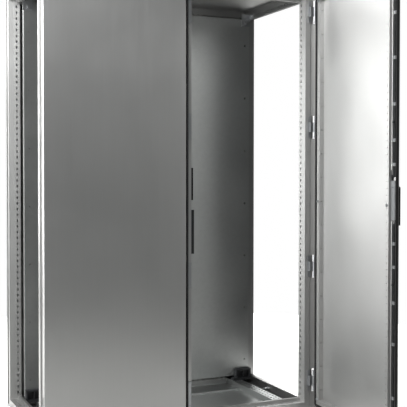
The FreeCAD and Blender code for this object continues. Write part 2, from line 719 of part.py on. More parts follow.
# handle base, hub, grip and key cylinder, all on the hub's axis
base_thick = 3.0
base_front = door_face - base_thick
base_half = 14.0
base_radius = 6.0
base_low, base_high = hub_z - grip_length - 4.0, hub_z + 18.0
handle_base = box(rod_x - base_half, rod_x + base_half, base_front, door_face, base_low, base_high)
upright_edges = [e for e in handle_base.Edges
                 if abs(e.Vertexes[0].Point.y - e.Vertexes[-1].Point.y) > base_thick - tiny]
handle_base = handle_base.makeFillet(base_radius, upright_edges).cut(hub_bore)
save("handle_base", handle_base, swing=True)

grip_thick = 12.0
pivot_y = base_front - handle_play - grip_thick / 2
hub_block = 12.0                      # width of the block that carries the grip's pin
hub_block_high = 9.0
hub_block_lead = 4.0                  # block in front of the grip's pin
flange_r, hub_flange_thick = 11.0, 2.0
flange_flat = 8.0                     # flange cut off below, where the grip folds in
rod_y0, rod_y1 = rod_front, rod_front + rod_size
mesh_gap = 0.25
hub_flange = cyl(flange_r, hub_flange_thick, V(rod_x, base_front, hub_z), V(0, -1, 0))
hub_body = box(rod_x - hub_block / 2, rod_x + hub_block / 2, pivot_y - hub_block_lead,
               base_front - handle_play, hub_z - hub_block_high / 2, hub_z + hub_block_high / 2)
hub_shaft = cyl(hub_r, rod_y0 - base_front + 1.0, V(rod_x, base_front - 1.0, hub_z), V(0, 1, 0))
hub_pinion = cyl(pinion_r - mesh_gap, rod_size, V(rod_x, rod_y0, hub_z), V(0, 1, 0))
hub_flange = hub_flange.cut(box(rod_x - flange_r, rod_x + flange_r,
                                base_front - 2 * hub_flange_thick, base_front - running_gap,
                                hub_z - 2 * flange_r, hub_z - flange_flat))
grip_pin_r = 2.0
hub = fuse([hub_flange, hub_body, hub_shaft, hub_pinion])
hub = hub.cut(cyl(grip_pin_r + pin_play, grip_width, V(rod_x - grip_width / 2, pivot_y, hub_z),
                  V(1, 0, 0)))
save("handle_hub", hub, swing=True)

grip_low = hub_z - grip_length
grip_head = 4.2                       # clears the hub's flange as the grip swings
grip_bar = box(rod_x - grip_width / 2, rod_x + grip_width / 2, pivot_y - grip_thick / 2,
               pivot_y + grip_thick / 2, grip_low, hub_z)
grip_radius = 3.0
grip_bar = grip_bar.makeFillet(grip_radius, [e for e in grip_bar.Edges
                                             if all(v.Point.y < pivot_y for v in e.Vertexes)])
grip_round = cyl(grip_head, grip_width, V(rod_x - grip_width / 2, pivot_y, hub_z), V(1, 0, 0))
fork_depth = 14.0
fork_half = hub_block / 2 + running_gap
fork = box(rod_x - fork_half, rod_x + fork_half, pivot_y - grip_thick, pivot_y + grip_thick,
           hub_z - fork_depth, hub_z + grip_thick)
flange_room = cyl(flange_r + 2.0, hub_flange_thick + 1.5, V(rod_x, base_front, hub_z), V(0, -1, 0))
cylinder_r = 8.0
cylinder_z = hub_z - 62.0             # axis of the key cylinder
pocket_half = 7.0                     # hollow in the back of the grip
pocket_skin = 2.0
pocket_low = grip_low + 6.0
pocket_high = cylinder_z - 14.0
grip = fuse([grip_bar, grip_round])
grip = cut(grip, [fork, flange_room,
                  cyl(grip_pin_r + pin_seat, grip_width + 2,
                      V(rod_x - grip_width / 2 - 1, pivot_y, hub_z), V(1, 0, 0)),
                  cyl(cylinder_r + pin_play, grip_thick + 2,
                      V(rod_x, pivot_y - grip_thick / 2 - 1, cylinder_z), V(0, 1, 0)),
                  box(rod_x - pocket_half, rod_x + pocket_half, pivot_y + pocket_skin,
                      pivot_y + grip_thick, pocket_low, pocket_high)])
save("handle_grip", grip, swing=True)
save("grip_pin", cyl(grip_pin_r, grip_width - 1.0, V(rod_x - grip_width / 2 + 0.5, pivot_y, hub_z),
                     V(1, 0, 0)), swing=True)

key_cylinder = cyl(cylinder_r, grip_thick - 1.0, V(rod_x, pivot_y - grip_thick / 2 + 0.5,
                                                   cylinder_z), V(0, 1, 0))
key_half_w, key_half_h = 0.8, 4.5
key_slot = box(rod_x - key_half_w, rod_x + key_half_w, pivot_y - grip_thick / 2 - 1, pivot_y,
               cylinder_z - key_half_h, cylinder_z + key_half_h)
save("key_cylinder", key_cylinder.cut(key_slot), swing=True)

# lock case, rods with racks, guides
case_y1 = rod_y1 + case_cover
cavity_y0 = rod_y0 - running_gap
cavity_y1 = rod_y1 + running_gap
lock_case = box(case_x0, case_x1, door_inner, case_y1, case_bottom, case_top)
rack_w = 2.6
right_rack_x = rod_x + pinion_r
left_rack_x = rod_x - pinion_r - rack_w
stroke = pinion_r * math.pi / 2
cavity = box(left_rack_x - running_gap, right_rack_x + rack_w + running_gap, cavity_y0,
             cavity_y1, case_bottom - 1, case_top + 1)
lock_case = cut(lock_case, [cavity, hub_bore])
save("lock_case", lock_case, swing=True)

roller_r = 5.0
roller_height = 4.0
rod_end_gap = 30.0
rack_reach = 6.0                      # rack past the pinion at the end of its travel
bar_x = rod_x - 1.75                  # bars run a little beside the hub's axis


def lock_rod(z_rack, z_near, z_far, rack_x, roller_heights):
    """Flat rod: a narrow rack strip beside the pinion, a wider bar, a roller per keeper."""
    low, high = min(z_near, z_far), max(z_near, z_far)
    bar = box(bar_x - rod_size, bar_x + rod_size, rod_y0, rod_y1, low, high)
    join_low, join_high = min(z_near, z_rack), max(z_near, z_rack)
    rack = box(rack_x, rack_x + rack_w, rod_y0, rod_y1, join_low, join_high)
    toward = 1.0 if z_far > z_near else -1.0
    foot_low, foot_high = sorted((z_near, z_near + toward * foot_thick))
    foot = box(min(rack_x, bar_x - rod_size), max(rack_x + rack_w, bar_x + rod_size), rod_y0,
               rod_y1, foot_low, foot_high)
    rollers = [cyl(roller_r, roller_height, V(bar_x, rod_y1, z), V(0, 1, 0))
               for z in roller_heights]
    return fuse([bar, rack, foot] + rollers)


upper_rod = lock_rod(hub_z - stroke - rack_reach, case_top + rod_split, door_high - rod_end_gap,
                     right_rack_x, [z for z in keeper_heights if z > hub_z])
lower_rod = lock_rod(hub_z + stroke + rack_reach, case_bottom - rod_split,
                     door_low + rod_end_gap, left_rack_x, [z for z in keeper_heights if z < hub_z])
save("upper_rod", upper_rod, swing=True)
save("lower_rod", lower_rod, swing=True)

guide_offset = 66.0
guide_height = 12.0
guide_wall = 1.5


def rod_guide(x, z, y_base, y_inner, y_outer, half, away):
    """Bridge over a rod: a block on the door with a running slot for the bar."""
    lo, hi = sorted((y_base, y_outer + away * guide_wall))
    body = box(x - half - guide_wall, x + half + guide_wall, lo, hi, z - guide_height / 2,
               z + guide_height / 2)
    a, b = sorted((y_inner - away * guide_play, y_outer + away * guide_play))
    return body.cut(box(x - half - guide_play, x + half + guide_play, a, b, z - guide_height,
                        z + guide_height))


guide_heights = [z + s * guide_offset for z in keeper_heights for s in (-1, 1)]
guide_heights += [rise * z for z in (390.0, 760.0, 1050.0, 1440.0)]
save("rod_guides", [rod_guide(bar_x, z, door_inner, rod_y0, rod_y1, rod_size, 1.0)
                    for z in guide_heights], swing=True)

# ---- left door --------------------------------------------------------------------------
rebate_x0 = -rebate_edge              # right-handed drawing: the rebate reaches past the centre
left_shell = door_shell(left_free, rebate_step + panel_sheet)
rebate_plate = box(rebate_x0, left_free + panel_sheet, rebate_face, rebate_face + panel_sheet,
                   door_low, door_high)
rebate_lip = 8.0
rebate_fold = box(rebate_x0, rebate_x0 + panel_sheet, rebate_face, rebate_face + rebate_lip,
                  door_low, door_high)
left_shell = fuse([left_shell, rebate_plate, rebate_fold])
save("left_door_shell", flip(left_shell, mirror_x))
save("left_door_gasket", flip(door_gasket(left_free), mirror_x))
save("left_door_frame", flip(door_frame(left_free), mirror_x))
save("left_frame_nuts", [flip(s, mirror_x) for s in frame_nuts(left_free)])

seal_inset = 3.5
seal_width = 6.5
seal_end = 8.0
centre_seal_x0 = door_overlap_edge + seal_inset
centre_seal = box(centre_seal_x0, centre_seal_x0 + seal_width, door_inner + gasket_gap,
                  rebate_face, door_low + seal_end, door_high - seal_end)
save("centre_gasket", centre_seal)

keeper_t = 1.5
keeper_x0 = centre_seal_x0 + seal_width + 1.0
keeper_x1 = rebate_edge - running_gap
keeper_block = 8.0
keeper_block_depth = 5.0


def keeper(z):
    """Plate on the rebate with a stop block at each end; a roller runs between them."""
    half = keeper_length / 2
    plate_piece = box(keeper_x0, keeper_x1, rebate_face - keeper_t, rebate_face, z - half,
                      z + half)
    blocks = [box(keeper_x0 + 1, keeper_x1 - 1, rebate_face - keeper_t - keeper_block_depth,
                  rebate_face - keeper_t, low, low + keeper_block)
              for low in (z - half, z + half - keeper_block)]
    return fuse([plate_piece] + blocks)


save("keepers", [keeper(z) for z in keeper_heights])

# slave lock behind the rebate
slave_back = rebate_face + panel_sheet
slave_rod_y0 = front + rod_room
slave_rod_y1 = slave_rod_y0 + rod_size
slave_cover = 3.0
slave_case_y1 = slave_rod_y1 + slave_cover
lower_slave_x = slave_x + slave_pinion_r
upper_slave_x = slave_x - slave_pinion_r - rod_size
slave_wall = 1.8
slave_tail = 20.0                     # case below the lever's axis
slave_case_x1 = lower_slave_x + rod_size + slave_wall
slave_case = box(upper_slave_x - slave_wall, slave_case_x1, slave_back, slave_case_y1,
                 slave_case_bottom - slave_tail, slave_case_top)
slave_hub_r = 6.0
slave_case = cut(slave_case, [
    box(upper_slave_x - running_gap, lower_slave_x + rod_size + running_gap,
        slave_rod_y0 - running_gap, slave_rod_y1 + running_gap,
        slave_case_bottom - slave_tail - 1, slave_case_top + 1),
    cyl(slave_hub_r + hub_play, slave_tail, V(slave_x, slave_rod_y1 - 1, slave_axis_z),
        V(0, 1, 0))])
nose_x1 = lower_slave_x + rod_size + 16.0
nose_low, nose_high = slave_case_bottom + 60.0, slave_case_top - slave_tail
slave_nose = box(slave_case_x1, nose_x1, front + 1.5, slave_case_y1 - 2.0, nose_low, nose_high)
save("slave_lock_case", fuse([slave_case, slave_nose]))

slave_end_gap = rail_lip + 3.0
upper_slave = box(upper_slave_x, upper_slave_x + rod_size, slave_rod_y0, slave_rod_y1,
                  slave_axis_z - rack_reach, carcass_top - slave_end_gap)
lower_slave = box(lower_slave_x, lower_slave_x + rod_size, slave_rod_y0, slave_rod_y1,
                  slave_end_gap, slave_axis_z + rack_reach)
save("upper_slave_rod", upper_slave)
save("lower_slave_rod", lower_slave)

upper_guides = [rod_guide(upper_slave_x + rod_size / 2, rise * z, slave_back, slave_rod_y0,
                          slave_rod_y1, rod_size / 2, 1.0)
                for z in (1120.0, 1330.0, 1540.0, 1725.0)]
lower_guides = [rod_guide(lower_slave_x + rod_size / 2, rise * z, slave_back, slave_rod_y0,
                          slave_rod_y1, rod_size / 2, 1.0)
                for z in (75.0, 260.0, 470.0, 780.0)]
save("slave_rod_guides", upper_guides + lower_guides)

lever_gap = 0.4
lever_thick = 8.0
lever_radius = 2.5
lever_hub_r = 10.0
arm_half = 8.0
lever_y0 = slave_case_y1 + lever_gap
lever_y1 = lever_y0 + lever_thick
bar_x0, bar_x1 = slave_x + 22.0, slave_x + 38.0
lever_hub = cyl(lever_hub_r, lever_thick, V(slave_x, lever_y0, slave_axis_z), V(0, 1, 0))
lever_arm = box(slave_x, bar_x1, lever_y0, lever_y1, slave_axis_z - arm_half,
                slave_axis_z + arm_half)
lever_bar = box(bar_x0, bar_x1, lever_y0, lever_y1, slave_bar_bottom, slave_axis_z + arm_half)
lever_shaft = cyl(slave_hub_r, lever_y0 - slave_rod_y1 + 0.5,
                  V(slave_x, slave_rod_y1, slave_axis_z), V(0, 1, 0))
lever_pinion = cyl(slave_pinion_r - mesh_gap, rod_size, V(slave_x, slave_rod_y0, slave_axis_z),
                   V(0, 1, 0))
lever = fuse([lever_hub, lever_arm, lever_bar])
longest = [e for e in lever.Edges if e.Length > 7 * lever_thick]
lever = lever.makeFillet(lever_radius, longest)
save("slave_lever", fuse([lever, lever_shaft, lever_pinion]))
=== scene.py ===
# %% [markdown]
# # A steel switchboard cabinet, finished in Blender
#
# The cabinet is a welded carcass of punched steel profiles with two doors. The design model
# already holds every folded sheet, hinge and rod in its true place. This lesson adds what a
# design model leaves plain: how the steel was rolled and brushed, how foam and plastic look,
# and the small moulded pieces whose curves are easier to give as formulas.
#
# The first step loads that model. Nothing in it is moved afterwards.

# %% Load the design model
import json
import math

import bmesh
import bpy
import numpy as np
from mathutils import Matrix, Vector

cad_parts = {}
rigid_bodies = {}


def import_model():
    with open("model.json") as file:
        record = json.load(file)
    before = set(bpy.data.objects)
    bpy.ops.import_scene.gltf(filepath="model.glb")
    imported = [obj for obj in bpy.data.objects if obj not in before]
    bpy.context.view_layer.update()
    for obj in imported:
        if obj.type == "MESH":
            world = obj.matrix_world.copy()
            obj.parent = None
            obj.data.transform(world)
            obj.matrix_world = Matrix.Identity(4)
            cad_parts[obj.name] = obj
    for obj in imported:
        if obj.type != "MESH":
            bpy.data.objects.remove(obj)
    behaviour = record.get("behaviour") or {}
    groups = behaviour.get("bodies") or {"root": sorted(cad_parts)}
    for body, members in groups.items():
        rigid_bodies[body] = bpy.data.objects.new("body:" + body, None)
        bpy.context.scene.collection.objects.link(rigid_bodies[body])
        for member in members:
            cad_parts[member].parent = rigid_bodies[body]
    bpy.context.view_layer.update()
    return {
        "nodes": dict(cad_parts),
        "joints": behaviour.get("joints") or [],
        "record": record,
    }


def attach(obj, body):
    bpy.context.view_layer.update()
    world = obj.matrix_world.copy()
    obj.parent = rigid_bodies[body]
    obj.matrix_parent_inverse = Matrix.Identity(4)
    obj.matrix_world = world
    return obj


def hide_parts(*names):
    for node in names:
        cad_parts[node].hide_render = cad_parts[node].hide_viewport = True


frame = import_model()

nodes = frame["nodes"]
joints = {joint["name"]: joint for joint in frame["joints"]}

# %% [markdown]
# The right door stands open, turned about its hinge pins. Its pieces are easiest to describe
# with the door closed, when every edge is parallel to an axis. So this cell reads the hinge
# line and the opening angle from the joint, and gives two small functions: one turns points
# from the closed door to the open one, the other measures a node as if the door were closed.

# %% The open door's own frame
MM = 0.001
hinge = joints["right_door_hinge"]
hinge_point = np.array(hinge["pos_m"])
open_turn = math.radians(-hinge["range_deg"][0])


def turned(points, angle):
    """Points turned about the vertical hinge line: (x, y) becomes (x cos a - y sin a,
    x sin a + y cos a), measured from that line; z stays."""
    p = np.asarray(points, float) - hinge_point
    c, s = math.cos(angle), math.sin(angle)
    x = c * p[..., 0] - s * p[..., 1]
    y = s * p[..., 0] + c * p[..., 1]
    return np.stack([x, y, p[..., 2]], -1) + hinge_point


def closed_box(name, opened=False):
    """Lowest and highest corner of a node, with the open door turned shut first."""
    mesh = nodes[name].data
    flat = np.empty(len(mesh.vertices) * 3)
    mesh.vertices.foreach_get("co", flat)
    points = flat.reshape(-1, 3)
    if opened:
        points = turned(points, -open_turn)
    return points.min(0), points.max(0)


shell_low, shell_high = closed_box("right_door_shell", opened=True)
print("right door, closed: width %.0f mm" % ((shell_high[0] - shell_low[0]) / MM))

# %% [markdown]
# ## Camera
# A long lens from the left at chest height keeps the cabinet's uprights parallel and shows
# the closed door, the open bay and the inside of the open door at once. The lens is shifted a
# little instead of turned, as an architectural camera is, which keeps verticals upright.

# %% Camera
lens_mm = 76.6
sensor_mm = 36.0
camera_place = Vector((-1.425, -3.479, 1.017))
yaw = math.radians(23.61)
tilt_down = math.radians(1.39)
camera_data = bpy.data.cameras.new("camera")
camera_data.lens = lens_mm
camera_data.sensor_width = sensor_mm
camera_data.shift_x = 0.0587
camera_data.shift_y = -0.0219
camera = bpy.data.objects.new("camera", camera_data)
camera.location = camera_place
camera.rotation_euler = (math.pi / 2 - tilt_down, 0.0, -yaw)
bpy.context.scene.collection.objects.link(camera)
bpy.context.scene.camera = camera
print("camera at", tuple(round(v, 3) for v in camera_place))

# %% [markdown]
# ## Colour and nodes
# Colours are written as the hex values a paint chart gives. Blender works in linear light, so
# one function turns them over. One more adds a shader node with its settings and its links,
# which keeps each material below down to a few readable lines.

# %% Colour and node helpers
def linear(hex_colour):
    """sRGB hex to linear RGBA: values under 0.04045 are divided by 12.92, the rest follow
    ((c + 0.055) / 1.055) to the power 2.4."""
    rgb = np.array([int(hex_colour[i:i + 2], 16) for i in (1, 3, 5)]) / 255.0
    low = rgb / 12.92
    high = ((rgb + 0.055) / 1.055) ** 2.4
    return tuple(np.where(rgb <= 0.04045, low, high)) + (1.0,)


def add(tree, kind, inputs=None, **settings):
    """Adds one node; inputs maps a socket's name or number to a value or to another
    node's output socket."""
    node = tree.nodes.new(kind)
    for key, value in settings.items():
        setattr(node, key, value)
    for key, value in (inputs or {}).items():
        if isinstance(value, bpy.types.NodeSocket):
            tree.links.new(value, node.inputs[key])
        else:
            node.inputs[key].default_value = value
    return node


def material(name):
    """A new material with its node tree and its Principled shader."""
    made = bpy.data.materials.new(name)
    made.use_nodes = True
    return made, made.node_tree, made.node_tree.nodes["Principled BSDF"]


def pattern_place(tree, scale):
    """Object coordinates, in metres, scaled separately along X, Y and Z."""
    place = add(tree, "ShaderNodeTexCoord")
    return add(tree, "ShaderNodeMapping", {"Vector": place.outputs["Object"], "Scale": scale})


# %% [markdown]
# ## Brushed stainless steel
# The carcass and doors are cold-rolled stainless sheet, finished with a 240-grit belt. The
# belt leaves fine parallel scratches along the length of each piece. Each scratch is a tiny
# groove that reflects light sideways, so highlights spread across the grain and stay short
# along it. The shader's anisotropy does this: its tangent lies across the grain and in the
# surface, which is the cross product of the grain and the normal. Real scratches are about
# 0.1 mm apart, too fine to show here, so faint streaks 1.5 mm apart and 300 mm long stand
# for them.

# %% Brushed stainless steel
def brushed_stainless(name, grain_axis, shade="#ADADAC", gloss=0.40, spread=0.75):
    """Rolled and belt-brushed sheet with its grain along one axis (0, 1 or 2)."""
    made, tree, shader = material(name)
    across, along = 1 / (1.5 * MM), 1 / (300 * MM)
    scale = [across] * 3
    scale[grain_axis] = along
    grain = add(tree, "ShaderNodeTexNoise", {"Vector": pattern_place(tree, scale).outputs[0],
                                             "Scale": 1.0, "Detail": 2.0, "Roughness": 0.6})
    cloud = add(tree, "ShaderNodeTexNoise", {"Vector": pattern_place(tree, (1, 1, 1)).outputs[0],
                                             "Scale": 5.0, "Detail": 3.0, "Roughness": 0.5})
    rough_grain = add(tree, "ShaderNodeMapRange", {"Value": grain.outputs["Fac"], "From Min": 0.3,
                                                   "From Max": 0.7, "To Min": gloss - 0.02,
                                                   "To Max": gloss + 0.02})
    rough_cloud = add(tree, "ShaderNodeMapRange", {"Value": cloud.outputs["Fac"], "From Min": 0.3,
                                                   "From Max": 0.7, "To Min": -0.015,
                                                   "To Max": 0.015})
    rough = add(tree, "ShaderNodeMath", {0: rough_grain.outputs[0], 1: rough_cloud.outputs[0]},
                operation="ADD")
    tone = add(tree, "ShaderNodeMapRange", {"Value": grain.outputs["Fac"], "From Min": 0.3,
                                            "From Max": 0.7, "To Min": 0.98, "To Max": 1.02})
    colour = add(tree, "ShaderNodeVectorMath", {0: linear(shade)[:3], "Scale": tone.outputs[0]},
                 operation="SCALE")
    relief = add(tree, "ShaderNodeBump", {"Height": grain.outputs["Fac"], "Strength": 0.02,
                                          "Distance": 0.05 * MM})
    direction = [0.0, 0.0, 0.0]
    direction[grain_axis] = 1.0
    facing = add(tree, "ShaderNodeNewGeometry")
    sideways = add(tree, "ShaderNodeVectorMath", {0: direction, 1: facing.outputs["Normal"]},
                   operation="CROSS_PRODUCT")
    fallback = add(tree, "ShaderNodeVectorMath", {0: sideways.outputs[0],
                                                  1: (0.001, 0.0013, 0.0007)}, operation="ADD")
    tree.links.new(colour.outputs[0], shader.inputs["Base Color"])
    tree.links.new(rough.outputs[0], shader.inputs["Roughness"])
    tree.links.new(relief.outputs[0], shader.inputs["Normal"])
    tree.links.new(fallback.outputs[0], shader.inputs["Tangent"])
    shader.inputs["Anisotropic"].default_value = spread
    shader.inputs["Metallic"].default_value = 1.0
    return made


steel_upright = brushed_stainless("stainless_brushed_upright", 2)
steel_across = brushed_stainless("stainless_brushed_across", 0)
steel_deep = brushed_stainless("stainless_brushed_deep", 1)
print("steel: three grain directions")

# %% [markdown]
# ## Galvanised sheet
# The mounting plate, floor slides and bottom plates are hot-dip galvanised strip. Zinc
# freezes in crystals about 12 mm across, called spangle, and each reflects at its own angle.
# On modern strip the crystals are faint, so they change gloss and tone only slightly.

# %% Galvanised sheet
def galvanised(name, shade, spangle_mm=12.0):
    """Zinc-coated strip with faint spangle."""
    made, tree, shader = material(name)
    place = pattern_place(tree, (1, 1, 1)).outputs[0]
    crystal = add(tree, "ShaderNodeTexVoronoi", {"Vector": place, "Scale": 1 / (spangle_mm * MM)})
    value = add(tree, "ShaderNodeSeparateColor", {"Color": crystal.outputs["Color"]})
    cloud = add(tree, "ShaderNodeTexNoise", {"Vector": place, "Scale": 4.0, "Detail": 4.0})
    tone = add(tree, "ShaderNodeMapRange", {"Value": value.outputs[0], "To Min": 0.98,
                                            "To Max": 1.02})
    colour = add(tree, "ShaderNodeVectorMath", {0: linear(shade)[:3], "Scale": tone.outputs[0]},
                 operation="SCALE")
    rough_crystal = add(tree, "ShaderNodeMapRange", {"Value": value.outputs[1], "To Min": 0.33,
                                                     "To Max": 0.36})
    rough_cloud = add(tree, "ShaderNodeMapRange", {"Value": cloud.outputs["Fac"],
                                                   "From Min": 0.3, "From Max": 0.7,
                                                   "To Min": -0.03, "To Max": 0.03})
    rough = add(tree, "ShaderNodeMath", {0: rough_crystal.outputs[0], 1: rough_cloud.outputs[0]},
                operation="ADD")
    tree.links.new(colour.outputs[0], shader.inputs["Base Color"])
    tree.links.new(rough.outputs[0], shader.inputs["Roughness"])
    shader.inputs["Metallic"].default_value = 1.0
    return made


zinc_sheet = galvanised("galvanised_strip", "#B4B6B5")
print("galvanised sheet made")

# %% [markdown]
# ## Zinc-plated hardware
# Hinges, guides, keepers, bolts and the active door's lock case are steel with a thin
# electroplated zinc layer, with a fine mottle from the plating bath.

# %% Zinc-plated hardware
def zinc_plated(name, shade="#A9ABAD", gloss=0.38):
    """Bright electroplated zinc with a fine mottle 2 mm across."""
    made, tree, shader = material(name)
    place = pattern_place(tree, (1, 1, 1)).outputs[0]
    mottle = add(tree, "ShaderNodeTexNoise", {"Vector": place, "Scale": 1 / (2 * MM),
                                              "Detail": 3.0})
    tone = add(tree, "ShaderNodeMapRange", {"Value": mottle.outputs["Fac"], "From Min": 0.3,
                                            "From Max": 0.7, "To Min": 0.9, "To Max": 1.0})
    colour = add(tree, "ShaderNodeVectorMath", {0: linear(shade)[:3], "Scale": tone.outputs[0]},
                 operation="SCALE")
    rough = add(tree, "ShaderNodeMapRange", {"Value": mottle.outputs["Fac"], "From Min": 0.3,
                                             "From Max": 0.7, "To Min": gloss - 0.06,
                                             "To Max": gloss + 0.08})
    tree.links.new(colour.outputs[0], shader.inputs["Base Color"])
    tree.links.new(rough.outputs[0], shader.inputs["Roughness"])
    shader.inputs["Metallic"].default_value = 1.0
    return made


zinc_bright = zinc_plated("zinc_plated_steel")
print("zinc-plated hardware made")

# %% [markdown]
# ## Black passivated steel
# The locking rods and the passive door's lock case are zinc-plated and then passivated black.
# The film is thin, so the steel's own sheen still shows through, with lighter worn patches
# about 15 mm across where the rods rub in their guides.

# %% Black passivated steel
def passivated_black(name, shade="#1B1C1D"):
    """Black zinc passivation with rubbed patches."""
    made, tree, shader = material(name)
    place = pattern_place(tree, (1, 1, 1)).outputs[0]
    rub = add(tree, "ShaderNodeTexNoise", {"Vector": place, "Scale": 1 / (15 * MM),
                                           "Detail": 4.0})
    tone = add(tree, "ShaderNodeMapRange", {"Value": rub.outputs["Fac"], "From Min": 0.45,
                                            "From Max": 0.75, "To Min": 1.0, "To Max": 2.2})
    colour = add(tree, "ShaderNodeVectorMath", {0: linear(shade)[:3], "Scale": tone.outputs[0]},
                 operation="SCALE")
    rough = add(tree, "ShaderNodeMapRange", {"Value": rub.outputs["Fac"], "From Min": 0.3,
                                             "From Max": 0.7, "To Min": 0.45, "To Max": 0.35})
    tree.links.new(colour.outputs[0], shader.inputs["Base Color"])
    tree.links.new(rough.outputs[0], shader.inputs["Roughness"])
    shader.inputs["Metallic"].default_value = 0.6
    return made


steel_black = passivated_black("black_passivated_steel")
print("black passivated steel made")

# %% [markdown]
# ## Foam gasket
# The gasket is polyurethane foamed in place as a bead. It is matt black, with a skin that
# shows shallow pores about 1 mm apart.

# %% Foam gasket
def foam_rubber(name, shade="#121212"):
    """Matt foamed polyurethane with a pored skin."""
    made, tree, shader = material(name)
    place = pattern_place(tree, (1, 1, 1)).outputs[0]
    pores = add(tree, "ShaderNodeTexNoise", {"Vector": place, "Scale": 1 / (1 * MM),
                                             "Detail": 2.0})
    tone = add(tree, "ShaderNodeMapRange", {"Value": pores.outputs["Fac"], "From Min": 0.3,
                                            "From Max": 0.7, "To Min": 0.7, "To Max": 1.3})
    colour = add(tree, "ShaderNodeVectorMath", {0: linear(shade)[:3], "Scale": tone.outputs[0]},
                 operation="SCALE")
    relief = add(tree, "ShaderNodeBump", {"Height": pores.outputs["Fac"], "Strength": 0.4,
                                          "Distance": 0.3 * MM})
    tree.links.new(colour.outputs[0], shader.inputs["Base Color"])
    tree.links.new(relief.outputs[0], shader.inputs["Normal"])
    shader.inputs["Roughness"].default_value = 0.85
    return made


foam = foam_rubber("polyurethane_foam_black")
print("foam made")

# %% [markdown]
# ## Black moulded plastic
# Handle, slave lever and plate feet are glass-filled polyamide. The mould is spark-eroded, so
# the surface has an even grain about 0.6 mm across and a soft sheen.

# %% Black moulded plastic
def moulded_black(name, shade="#17181A", gloss=0.42):
    """Glass-filled polyamide with a spark-eroded grain."""
    made, tree, shader = material(name)
    place = pattern_place(tree, (1, 1, 1)).outputs[0]
    grain = add(tree, "ShaderNodeTexNoise", {"Vector": place, "Scale": 1 / (0.6 * MM),
                                             "Detail": 1.0})
    cloud = add(tree, "ShaderNodeTexNoise", {"Vector": place, "Scale": 1 / (25 * MM),
                                             "Detail": 2.0})
    rough = add(tree, "ShaderNodeMapRange", {"Value": cloud.outputs["Fac"], "From Min": 0.3,
                                             "From Max": 0.7, "To Min": gloss - 0.05,
                                             "To Max": gloss + 0.05})
    tone = add(tree, "ShaderNodeMapRange", {"Value": grain.outputs["Fac"], "From Min": 0.3,
                                            "From Max": 0.7, "To Min": 0.85, "To Max": 1.15})
    colour = add(tree, "ShaderNodeVectorMath", {0: linear(shade)[:3], "Scale": tone.outputs[0]},
                 operation="SCALE")
    relief = add(tree, "ShaderNodeBump", {"Height": grain.outputs["Fac"], "Strength": 0.25,
                                          "Distance": 0.1 * MM})
    tree.links.new(colour.outputs[0], shader.inputs["Base Color"])
    tree.links.new(rough.outputs[0], shader.inputs["Roughness"])
    tree.links.new(relief.outputs[0], shader.inputs["Normal"])
    return made


plastic = moulded_black("polyamide_black")
print("black plastic made")

# %% [markdown]
# ## Which finish goes where
# A design node names its finish by slot. Sheet pieces also need to know which way they were
# brushed: along their own length, as the belt runs.

# %% Finish the design nodes
by_slot = {"stainless_steel": steel_upright, "galvanised_steel": zinc_sheet,
           "zinc_plated_steel": zinc_bright, "black_passivated_steel": steel_black,
           "black_foam_rubber": foam, "black_plastic": plastic}
brushed_across = {"rail_bottom_front", "rail_bottom_rear", "rail_top_front", "rail_top_rear",
                  "roof_panel"}
brushed_deep = {"rail_bottom_left", "rail_bottom_right", "rail_top_left", "rail_top_right"}
slots = {part["node"]: part["material_slot"] for part in frame["record"]["subparts"]}


def finish_for(name):
    """The material of a node, by its slot and the way its sheet was brushed."""
    if name in brushed_across:
        return steel_across
    if name in brushed_deep:
        return steel_deep
    return by_slot[slots[name]]


for name, piece in nodes.items():
    piece.data.materials.clear()
    piece.data.materials.append(finish_for(name))
print("finished", len(nodes), "nodes")

# %% [markdown]
# ## Foamed gasket beads
# The door gasket is poured as a liquid that rises into a bead. Its section is a flattened
# dome: x = (w / 2) c |c|^-0.4 and y = h |s|^0.7, with c and s the cosine and sine of an angle
# from 0 to 180 degrees. The dome is carried along the channel on the door, round two corners,
# and its width wanders by about two percent, as poured foam does.

# %% Surfaces carried along a path
def skin(name, rings, finish):
    """Closed surface through rings of points, an array (n, m, 3): quads join each ring to
    the next, and one face closes each end."""
    n, m = rings.shape[:2]
    i, j = np.meshgrid(np.arange(n - 1), np.arange(m), indexing="ij")
    k = (j + 1) % m
    quads = np.stack([i * m + j, (i + 1) * m + j, (i + 1) * m + k, i * m + k], -1)
    ends = [list(range(m)), list(range((n - 1) * m, n * m))[::-1]]
    mesh = bpy.data.meshes.new(name)
    mesh.from_pydata(rings.reshape(-1, 3).tolist(), [], quads.reshape(-1, 4).tolist() + ends)
    shell = bmesh.new()
    shell.from_mesh(mesh)
    bmesh.ops.recalc_face_normals(shell, faces=shell.faces)
    shell.to_mesh(mesh)
    shell.free()
    mesh.polygons.foreach_set("use_smooth", np.ones(len(mesh.polygons), bool))
    mesh.set_sharp_from_angle(angle=math.radians(40))
    mesh.materials.append(finish)
    made = bpy.data.objects.new(name, mesh)
    bpy.context.scene.collection.objects.link(made)
    return made


